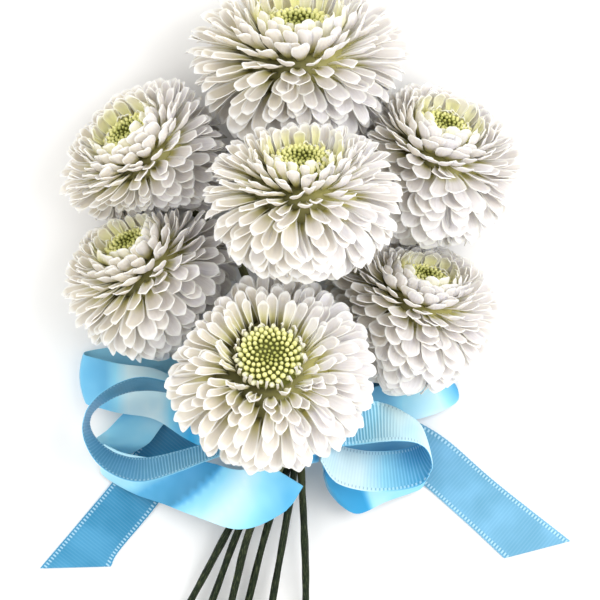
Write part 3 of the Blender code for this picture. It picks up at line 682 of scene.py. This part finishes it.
def grow_petal(bm, layers, bloom, sizes, theta, around, share, rng, quill=1.0):
    """One spoon-shaped petal: a grid drawn along its path, rolled across and rounded at its tip."""
    wide = bloom.radius * (sizes.inner_width + (sizes.outer_width - sizes.inner_width) * share)
    wide *= rng.uniform(0.88, 1.10) * quill * bloom.breadth
    curl = sizes.inner_curl + (sizes.outer_curl - sizes.inner_curl) * share**0.5
    curl *= rng.uniform(0.8, 1.2) / quill / bloom.breadth**2
    bend = INNER_BOW + OPEN_BOW * bloom.openness + OUTER_BOW * share
    bend = math.radians(bend + rng.uniform(-BOW_SCATTER, BOW_SCATTER))
    stretch = quill**0.5 * (bloom.reach - abs(rng.gauss(0, sizes.raggedness)))
    sway, roll = rng.gauss(0, 0.05), rng.gauss(0, 0.16)
    hook = rng.uniform(0.1, 0.6) * (1 - share)
    grid = bmesh.ops.create_grid(bm, x_segments=4, y_segments=len(PETAL_ROWS) - 1, size=1)["verts"]
    u = np.array([vert.co.x for vert in grid])
    v = np.interp([vert.co.y for vert in grid], np.linspace(-1, 1, len(PETAL_ROWS)), PETAL_ROWS)
    half = wide * (FOOT_WIDTH + (1 - FOOT_WIDTH) * ease(v / WIDEST_AT))
    near_tip = np.clip((v - TIP_FROM) / (1 - TIP_FROM), 0, 1)
    half *= np.maximum((1 - near_tip**2) ** rng.uniform(0.42, 0.85), TIP_WIDTH)
    angle = curl * (1 - 0.45 * ease((v - 0.55) / 0.45))
    side = half * np.sin(angle * u) / angle
    lift = half * (1 - np.cos(angle * u)) / angle + roll * u * half
    lift += wide * (0.35 * curl + hook) * ease((v - 0.62) / 0.38)
    along = np.clip(v - 0.02 * u**2 * ease((v - 0.8) / 0.2), 0, 1)
    middle = petal_path(bloom, theta, stretch, bend, along)
    ahead = petal_path(bloom, theta, stretch, bend, along + 0.01)
    slope = np.arctan2(ahead[:, 0] - middle[:, 0], ahead[:, 1] - middle[:, 1])
    r = middle[:, 0] - np.cos(slope) * lift
    z = middle[:, 1] + np.sin(slope) * lift
    turned = around + sway * v**2 + np.arctan2(side, np.maximum(r, 1e-4))
    set_points(grid, bloom.place(np.hypot(r, side), turned, z))
    chance = rng.random()
    reached = get_points(grid).mean(axis=0) - bloom.middle
    # The painted lit side: higher for petals pointing towards +x, and raised on the whole by the
    # bloom's painted lightness.
    lit_side = 0.5 + 0.5 * reached[0] / np.linalg.norm(reached) + bloom.paleness
    for vert, x, y in zip(grid, u, v):
        vert[layers[0]] = (x, y, 1 - share)
        vert[layers[1]] = (chance, lit_side, bloom.teeth)


def grow_core(bm, layers, bloom):
    """The closed green body that the petals grow from."""
    core = bmesh.ops.create_uvsphere(bm, u_segments=40, v_segments=24, radius=1)["verts"]
    ball = get_points(core)
    theta = np.arccos(np.clip(ball[:, 2], -1, 1))
    out = CORE_SHARE * bloom.outline(theta)
    z = np.minimum(out * np.cos(theta), (FLOOR_SHARE - 0.05) * bloom.radius)
    set_points(core, bloom.place(out * np.sin(theta), np.arctan2(ball[:, 1], ball[:, 0]), z))
    # The core carries the petals' painted root shade, and the same painted lit side towards +x.
    for vert in core:
        vert[layers[0]] = (0, 0, 0.5)
        vert[layers[1]] = (0.5, 0.5 + 0.5 * (vert.co.x - bloom.middle[0]) / bloom.radius, 0)


def grow_bloom(bloom, sizes):
    """All the petals of a bloom in a golden-angle spiral round its core."""
    rng = random.Random(bloom.name)
    bm, *layers = start_mesh("petal", "chance")
    first = FIRST_PETAL + OPENING * bloom.openness
    for k in range(sizes.quills):
        around = math.tau * (k + rng.uniform(-0.3, 0.3)) / sizes.quills
        theta = first - math.radians(rng.uniform(2, 6))
        grow_petal(bm, layers, bloom, sizes, theta, around, 0.0, rng, rng.uniform(0.50, 0.72))
    for k in range(sizes.count):
        share = (k + 0.5) / sizes.count
        theta = first + (LAST_PETAL - first) * share + rng.uniform(-0.05, 0.05)
        around = k * GOLDEN_ANGLE + rng.uniform(-0.09, 0.09)
        grow_petal(bm, layers, bloom, sizes, theta, around, share, rng)
    thicken(bm, bm.faces[:], sizes.thickness)
    grow_core(bm, layers, bloom)
    if bloom.name in LYING:
        middle = bloom.middle[2]
        stretch = middle / (middle - min(vert.co.z for vert in bm.verts))
        for vert in bm.verts:
            if vert.co.z < middle:
                vert.co.z = middle - (middle - vert.co.z) * stretch
    return bm


def grow_florets(bloom, sizes):
    """The disc: bud-shaped florets in a spiral over a low dome, smallest round the pit."""
    rng = random.Random(bloom.name + " disc")
    bm, layer = start_mesh("floret")
    wide, floor = DISC_SHARE * bloom.radius, FLOOR_SHARE * bloom.radius

    def high(r):
        dip = PIT_DEPTH * np.exp(-((r / (PIT_WIDTH * wide)) ** 2))
        dome = np.sqrt(np.maximum(wide**2 - r**2, 0)) - 0.1 * wide
        return floor + dome * (DOME_HEIGHT - dip)

    dome = bmesh.ops.create_uvsphere(bm, u_segments=32, v_segments=16, radius=wide * 0.98)["verts"]
    points = get_points(dome)
    r = np.hypot(points[:, 0], points[:, 1])
    points[:, 2] = np.where(points[:, 2] > 0, high(r) - 0.06 * wide, floor - 0.02 * wide)
    set_points(dome, bloom.own(points))
    # The dome takes the painted shade that shows between the florets.
    for vert in dome:
        vert[layer] = (0, 0, 0)
    for k in range(sizes.count):
        share = (k + 0.5) / sizes.count
        r = 0.97 * wide * share**0.56
        around = k * GOLDEN_ANGLE
        girth = (sizes.smallest + (sizes.largest - sizes.smallest) * share**0.8) / 2
        girth *= rng.uniform(0.9, 1.1) * bloom.radius / (40 * MM)
        tall = girth * (1.25 + 1.1 * share)
        slope = (float(high(r + 1e-5)) - float(high(r - 1e-5))) / 2e-5
        tilt = math.atan(-slope) * 0.55 + rng.uniform(-0.12, 0.12)
        verts = bmesh.ops.create_uvsphere(bm, u_segments=6, v_segments=5, radius=1)["verts"]
        for vert in verts:
            vert[layer] = ((vert.co.z + 1) / 2, share, rng.random())
        shape = (
            Matrix.Rotation(around, 4, "Z")
            @ Matrix.Translation((r, 0, float(high(r)) + 0.25 * tall))
            @ Matrix.Rotation(tilt, 4, "Y")
            @ Matrix.Diagonal((girth, girth, tall, 1))
        )
        bmesh.ops.transform(bm, matrix=shape, verts=verts)
        set_points(verts, bloom.own(get_points(verts)))
    return bm


def grow_stem(bloom, sizes):
    """A ridged stem from inside its calyx through the tie to its cut end."""
    rng = random.Random(bloom.name + " stem")
    bm, layer = start_mesh("stem")
    route, (slot_x, slot_z), low = STEMS[bloom.name]
    seat = -SEAT_SHARE * bloom.radius - GAP
    points = [
        bloom.place(0, 0, seat - CALYX_DEPTH / 2 * bloom.radius)[0],
        bloom.place(0, 0, seat - CALYX_DEPTH * bloom.radius - 5 * MM)[0],
    ]
    points += [plan(x, y, z * MM) for x, y, z in route]
    points.append(plan(TIE_X, TIE_Y, slot_z * MM) + np.array((slot_x * MM, 0, 0)))
    points += [plan(x, y, z * MM) for (x, z), y in zip(low, STEM_STEPS)]
    line = smooth_path(points, STEM_RINGS)
    phase = rng.uniform(0, 6)
    rings = []
    for k, point in enumerate(line):
        along = line[min(k + 1, len(line) - 1)] - line[max(k - 1, 0)]
        over = unit(np.cross(along, (1, 0, 0)))
        beside = unit(np.cross(along, over))
        ring = bmesh.ops.create_circle(bm, segments=15, radius=1)["verts"]
        swell = 1 + 0.05 * math.sin(k * 0.31 + phase) + 0.04 * math.sin(k * 0.83 + 2 * phase)
        for vert in ring:
            turn = math.atan2(vert.co.y, vert.co.x)
            ridge = 1 - sizes.ridge_depth * (0.5 + 0.5 * math.cos(5 * turn + 0.16 * k + phase))
            out = sizes.diameter / 2 * swell * ridge
            vert.co = point + (over * math.cos(turn) + beside * math.sin(turn)) * out
            vert[layer] = (math.cos(turn + 0.032 * k) + phase, k / STEM_RINGS, 0)
        rings.append(list({e for v in ring for e in v.link_edges}))
    end = [v for e in rings[-1] for v in e.verts]
    for near, far in zip(rings, rings[1:]):
        bmesh.ops.bridge_loops(bm, edges=near + far)
    for ring in (rings[0], rings[-1]):
        bmesh.ops.contextual_create(bm, geom=ring)
    for vert in set(end):
        vert[layer] = (vert[layer][0], 1, 0.6)
    grow_calyx(bm, layer, bloom, seat, rng)
    return bm


def grow_calyx(bm, layer, bloom, seat, rng):
    """The green cup behind a bloom, with two rows of bracts pressed to it."""
    radius = bloom.radius
    profile = [(r * radius, 0, seat - z * radius) for r, z in ((0, CALYX_DEPTH), *CALYX, (0, 0))]
    spin(bm, profile, (0, 0, 1), 20)
    cup = [v for v in bm.verts if not any(v[layer])]
    bmesh.ops.remove_doubles(bm, verts=cup, dist=1e-6)
    cup = [v for v in bm.verts if not any(v[layer])]
    set_points(cup, bloom.own(get_points(cup)))
    for vert in cup:
        vert[layer] = (rng.random(), 0.01, 0)
    bracts = []
    for row, (count, r, low, length) in enumerate(BRACTS):
        for k in range(count):
            turn = math.tau * (k + row / 2) / count
            grid = bmesh.ops.create_grid(bm, x_segments=2, y_segments=3, size=1)["verts"]
            uv = np.array([v.co[:2] for v in grid])
            u, v = uv[:, 0], (uv[:, 1] + 1) / 2
            half = 0.042 * radius * np.maximum(1 - v**2, 0.08)
            out = (r + 0.05 * v + 0.012 * (1 - u**2)) * radius
            z = seat - low * radius + length * radius * v
            around = turn + np.arctan2(u * half, out)
            set_points(grid, bloom.place(np.hypot(out, u * half), around, z))
            for vert in grid:
                vert[layer] = (rng.random(), 0.02, 0)
            bracts += {f for vert in grid for f in vert.link_faces}
    thicken(bm, list(bracts), 0.3 * MM)


def ribbon_line(stations, step):
    """Middles and half widths of a ribbon at even steps along it, and how far along each is."""
    rows = []
    for x, y, z, right, down, up in stations:
        side = np.array((right, -down, up)) * PLAN_STEP
        rows.append((*plan(x, y, z * MM), *side))
    rough = smooth_path(rows, 200)
    length = np.linalg.norm(np.diff(rough[:, :3], axis=0), axis=1).sum()
    line = smooth_path(rows, round(length / step) + 1)
    return line[:, :3], line[:, 3:], np.linspace(0, length, len(line))


def make_strip(name, stations, sizes, material):
    """A length of ribbon: a grid laid along its stations, with its stitches raised."""
    looks = [np.array(face) for face in RIBBON_LOOKS[name]]
    ribbed = max(face[:, 2].max() for face in looks) > 0
    fine = ribbed or name in TONES_ASKEW
    middles, sides, along = ribbon_line(stations, sizes.fine_step if fine else sizes.step)
    normals = unit(np.cross(np.gradient(middles, axis=0), sides))
    ahead = np.gradient(middles, along, axis=0)
    turning = np.gradient(ahead, along, axis=0)
    slant = (sides * ahead).sum(axis=1)
    askew = TONES_ASKEW.get(name, 0)
    bm, place, look = start_mesh("ribbon", "look")
    row = bm.verts.layers.int.new("row")
    panes = len(RIBBON_PANES) - 1
    grid = bmesh.ops.create_grid(bm, x_segments=panes, y_segments=len(along) - 1, size=1)["verts"]
    for vert in grid:
        k = round((vert.co.y + 1) / 2 * (len(along) - 1))
        u = RIBBON_PANES[round((vert.co.x + 1) / 2 * panes)]
        vert[row] = k
        vert[place] = (u, along[k] + slant[k] * u, 0)
    first = set(grid)
    bmesh.ops.solidify(bm, geom=bm.faces[:], thickness=sizes.thickness)
    for vert in bm.verts:
        way = 1 if vert in first else -1
        k, (u, run, _) = vert[row], vert[place]
        thread = max(0, math.sin(math.tau * run / STITCH_PITCH))
        face = looks[0 if way > 0 else 1]
        share = along[k] / along[-1] + askew * u
        # The tone here is the face's painted sheen, highlight and shadow.
        tone, ribs, vivid = (np.interp(share, face[:, 0], face[:, n]) for n in (1, 2, 3))
        vert[look] = (tone, ribs, vivid)
        out = sizes.thickness / 2
        if abs(abs(u) - STITCHES_AT) < 0.01:
            out += sizes.stitch_height * ribs * thread
        elif abs(u) > 0.99:
            out *= 0.6
            u *= 1 + 0.03 * ribs * thread
        drawn_in = turning[k] * (sizes.drawn_in**2 * u * u)
        vert.co = middles[k] + sides[k] * u + normals[k] * (way * out) + drawn_in
    piece = finish_piece(f"bow_{name}", bm, material, f"ribbon_{name}")


def make_knot(sizes, material):
    """The gathered centre of the bow: a pleated band round the stems."""
    bm, place, look = start_mesh("ribbon", "look")
    half = KNOT_HALF_LENGTH
    spin(bm, [(1, half * k / 13, 0) for k in range(-13, 14)], (0, 1, 0), 64)
    bmesh.ops.remove_doubles(bm, verts=bm.verts[:], dist=1e-6)
    middle = plan(TIE_X, TIE_Y, TIE_Z)
    for vert in bm.verts:
        turn, y = math.atan2(vert.co.z, vert.co.x), vert.co.y
        pleat = math.sin(y / PLEAT_PITCH + 1.2 * math.sin(2 * turn) + 0.6 * math.sin(3 * turn + 1))
        out = (1.15 + 0.38 * pleat) * MM * (1 - 0.5 * (abs(y) / half) ** 4)
        pull = y * (1 - 0.10 * math.cos(2 * turn))
        vert[place] = (y / half * 0.7, turn * 12 * MM, 0)
        # Painted shade in the hollows of the pleats and painted highlight on their crests.
        vert[look] = (0.5 + 0.2 * pleat, 0, 0.4)
        vert.co = (
            middle[0] + (TIE_HALF[0] + out) * math.cos(turn), middle[1] + pull,
            middle[2] + (TIE_HALF[1] + out) * math.sin(turn),
        )
    thicken(bm, bm.faces[:], sizes.thickness)
    piece = finish_piece("bow_knot", bm, material, "ribbon_knot")


# Settings that a user would change


def described(kind, **limits):
    """Makes properties of a kind from their name, description and default."""
    return lambda name, description, default: kind(
        name=name, description=description, default=default, **limits
    )


length = described(FloatProperty, unit="LENGTH", precision=5)
share = described(FloatProperty, min=0, soft_max=2)
power = described(FloatProperty, unit="POWER")
number = described(IntProperty)
tint = described(FloatVectorProperty, subtype="COLOR", size=3, min=0, max=1)


class PetalSizes(bpy.types.PropertyGroup):
    count: number("Petals", "Petals of a bloom", 350)
    quills: number("Quills", "Short rolled petals round a disc", 26)
    thickness: length("Thickness", "Thickness of a petal", 0.3 * MM)
    inner_width: share("Inner width", "Half width of the innermost petals, over the radius", 0.066)
    outer_width: share("Outer width", "Half width of the outermost petals, over the radius", 0.105)
    inner_curl: share("Inner curl", "How far the innermost petals roll up, in radians", 1.9)
    outer_curl: share("Outer curl", "How far the outermost petals roll up, in radians", 0.6)
    raggedness: share("Raggedness", "How unevenly long the petals are, over the radius", 0.034)


class FloretSizes(bpy.types.PropertyGroup):
    count: number("Florets", "Florets of a disc", 115)
    smallest: length("Smallest", "Width of a floret by the pit", 1.3 * MM)
    largest: length("Largest", "Width of a floret at the rim", 2.5 * MM)


class StemSizes(bpy.types.PropertyGroup):
    diameter: length("Diameter", "Thickness of a stem", 3.0 * MM)
    ridge_depth: share("Ridges", "Depth of the grooves, over the radius", 0.16)


class RibbonSizes(bpy.types.PropertyGroup):
    thickness: length("Thickness", "Thickness of the ribbon", 0.4 * MM)
    stitch_height: length("Stitch height", "Height of the stitches over the ribbon", 0.16 * MM)
    drawn_in: length("Drawn in", "How far the edges draw in at a turn, at its square", 2.1 * MM)
    step: length("Step", "Length of one cell of a plain ribbon", 1.5 * MM)
    fine_step: length("Fine step", "Length of one cell of a ribbed ribbon", 0.3 * MM)


class BunchColours(bpy.types.PropertyGroup):
    petal_white: tint("Petal white", "Lit part of a petal", (0.87, 0.835, 0.84))
    petal_shade: tint("Petal shade", "Petals in the shade", (0.75, 0.685, 0.57))
    # Painted highlight on the petal rims.
    petal_rim_highlight: tint("Petal rim", "Edges of a petal", (1, 0.985, 0.93))
    petal_vein: tint("Petal vein", "Between the fine veins", (0.7, 0.655, 0.64))
    petal_foot: tint("Petal foot", "Lower part of a petal", (0.64, 0.6, 0.22))
    # Painted shade at the petal roots and on the core.
    petal_root_shade: tint("Petal root", "Roots of the petals, and the core", (0.09, 0.085, 0.022))
    floret_green: tint("Floret green", "Body of a floret", (0.48, 0.5, 0.14))
    floret_tip: tint("Floret tip", "Tip of a floret", (0.88, 0.86, 0.4))
    floret_rim: tint("Outer floret tip", "Tip of the outermost florets", (0.95, 0.94, 0.8))
    # Florets by the pit, and painted shade at the florets' feet and between them.
    floret_pit_and_gap_shade: tint("Pit", "Florets in the pit", (0.17, 0.18, 0.03))
    stem_dark: tint("Stem dark", "Grooves of a stem", (0.006, 0.01, 0.006))
    stem_green: tint("Stem green", "Main colour of a stem", (0.01, 0.02, 0.008))
    stem_fleck: tint("Stem fleck", "Flecks on a stem's ridges", (0.085, 0.1, 0.048))
    stem_young: tint("Stem young", "The stems and calyx cups behind the blooms", (0.3, 0.31, 0.13))
    stem_cut: tint("Stem cut", "A stem's cut end", (0.45, 0.5, 0.28))
    # From the shaded side up to the palest blue, these ribbon colours are a ramp from painted shade
    # to painted highlight on the satin.
    ribbon_shade: tint("Ribbon shade", "The ribbon's shaded side", (0.01, 0.15, 0.225))
    ribbon_grey: tint("Ribbon grey", "Muted middle tone", (0.18, 0.45, 0.67))
    ribbon_light: tint("Ribbon light", "Muted light tone", (0.36, 0.74, 0.92))
    ribbon_highlight: tint("Ribbon pale", "Palest blue of the satin", (0.76, 0.96, 1))
    ribbon_deep_shade: tint("Ribbon deep", "Deepest blue of the ribbon", (0, 0.25, 0.58))
    ribbon_blue: tint("Ribbon blue", "Clear middle blue", (0.03, 0.42, 0.8))
    ribbon_sky: tint("Ribbon sky", "Clear light blue", (0.3, 0.75, 0.96))
    ribbon_groove: tint("Grooves", "Shade between the ribs and stitches", (0.045, 0.22, 0.4))
    ribbon_stitch: tint("Stitches", "Stitches along the edges", (0.66, 0.88, 0.96))


class StageSettings(bpy.types.PropertyGroup):
    floor: tint("Floor", "Colour of the floor", (0.98, 0.98, 0.98))
    key: power("Key light", "Power of the key light", 4.8)
    fill: power("Fill light", "Power of the fill light", 2.6)
    sky: share("Sky", "Strength of the light from all round", 0.92)
    sky_colour: tint("Sky colour", "Colour of that light", (1, 0.988, 0.965))
    camera_height: length("Camera height", "Height of the camera over the surface", 3)


class BUNCH_OT_blooms(bpy.types.Operator):
    """Grow the petals and the core of every bloom"""

    bl_idname = "bunch.blooms"
    bl_label = "Petals"

    def execute(self, context):
        scene = context.scene
        material = petal_material(scene.bunch_colours)
        return dress_blooms(
            grow_bloom, scene.bunch_petals, material, "bloom", "petals"
        )


class BUNCH_OT_discs(bpy.types.Operator):
    """Set the yellow-green florets in the middle of every bloom"""

    bl_idname = "bunch.discs"
    bl_label = "Discs"

    def execute(self, context):
        scene = context.scene
        material = floret_material(scene.bunch_colours)
        return dress_blooms(
            grow_florets, scene.bunch_florets, material, "florets", "disc"
        )


class BUNCH_OT_stems(bpy.types.Operator):
    """Grow the stems, with the calyx behind each bloom"""

    bl_idname = "bunch.stems"
    bl_label = "Stems"

    def execute(self, context):
        scene = context.scene
        material = stem_material(scene.bunch_colours)
        return dress_blooms(grow_stem, scene.bunch_stems, material, "stalk", "stem")


class BUNCH_OT_bow(bpy.types.Operator):
    """Tie the ribbon bow: its loops, tails and knot"""

    bl_idname = "bunch.bow"
    bl_label = "Bow"

    def execute(self, context):
        scene = context.scene
        material = ribbon_material(scene.bunch_colours)
        for name, stations in RIBBONS.items():
            make_strip(name, stations, scene.bunch_ribbon, material)
        make_knot(scene.bunch_ribbon, material)
        return {"FINISHED"}


class BUNCH_OT_stage(bpy.types.Operator):
    """Lay the floor and set the lights and the camera"""

    bl_idname = "bunch.stage"
    bl_label = "Stage"

    def execute(self, context):
        scene = context.scene
        stage = scene.bunch_stage
        bm = bmesh.new()
        bmesh.ops.create_grid(bm, x_segments=1, y_segments=1, size=3)
        bmesh.ops.translate(bm, verts=bm.verts, vec=(0, 0, -0.05 * MM))
        add_mesh("floor", bm, floor_material(tuple(stage.floor)))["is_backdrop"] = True
        look_at = plan(*VIEW_MIDDLE, 30 * MM)
        for name, at, size in LAMPS:
            light = bpy.data.lights.new(name, "AREA")
            light.energy = getattr(stage, name)
            light.size = size
            aim = Vector(look_at) - Vector(at)
            stand(name, light, at).rotation_euler = aim.to_track_quat("-Z", "Y").to_euler()
        world = bpy.data.worlds.new("studio")
        world.use_nodes = True
        sky = world.node_tree.nodes["Background"].inputs
        sky["Color"].default_value = (*stage.sky_colour, 1)
        sky["Strength"].default_value = stage.sky
        scene.world = world
        camera = bpy.data.cameras.new("camera")
        camera.sensor_width = SENSOR
        camera.lens = SENSOR * (stage.camera_height - VIEW_LEVEL) / (VIEW_WIDTH * PLAN_STEP)
        scene.camera = stand("camera", camera, plan(*VIEW_MIDDLE, stage.camera_height))
        scene.view_settings.view_transform = "Standard"
        return {"FINISHED"}


OPERATORS = (BUNCH_OT_blooms, BUNCH_OT_discs, BUNCH_OT_stems, BUNCH_OT_bow, BUNCH_OT_stage)
SETTINGS = {
    "bunch_petals": PetalSizes, "bunch_florets": FloretSizes, "bunch_stems": StemSizes,
    "bunch_ribbon": RibbonSizes, "bunch_colours": BunchColours, "bunch_stage": StageSettings,
}


class BUNCH_PT_sidebar(bpy.types.Panel):
    """Lists the steps and their settings"""

    bl_idname = "BUNCH_PT_sidebar"
    bl_label = "Chrysanthemum bunch"
    bl_space_type = "VIEW_3D"
    bl_region_type = "UI"
    bl_category = "Bunch"

    def draw(self, context):
        for operator in OPERATORS:
            self.layout.operator(operator.bl_idname)
        for name, group in SETTINGS.items():
            box = self.layout.box()
            for setting in group.__annotations__:
                box.prop(getattr(context.scene, name), setting)


CLASSES = (*SETTINGS.values(), *OPERATORS, BUNCH_PT_sidebar)


def register():
    for group in CLASSES:
        bpy.utils.register_class(group)
    for name, group in SETTINGS.items():
        setattr(bpy.types.Scene, name, PointerProperty(type=group))


def unregister():
    for name in SETTINGS:
        delattr(bpy.types.Scene, name)
    for group in reversed(CLASSES):
        bpy.utils.unregister_class(group)


def main():
    register()
    bpy.ops.bunch.blooms()
    bpy.ops.bunch.discs()
    bpy.ops.bunch.stems()
    bpy.ops.bunch.bow()
    bpy.ops.bunch.stage()
    boxes = {"cad": SOLID_BOX, "visual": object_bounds()}
    boxes = {name: [list(corner) for corner in box] for name, box in boxes.items()}


if __name__ == "__main__":
    main()
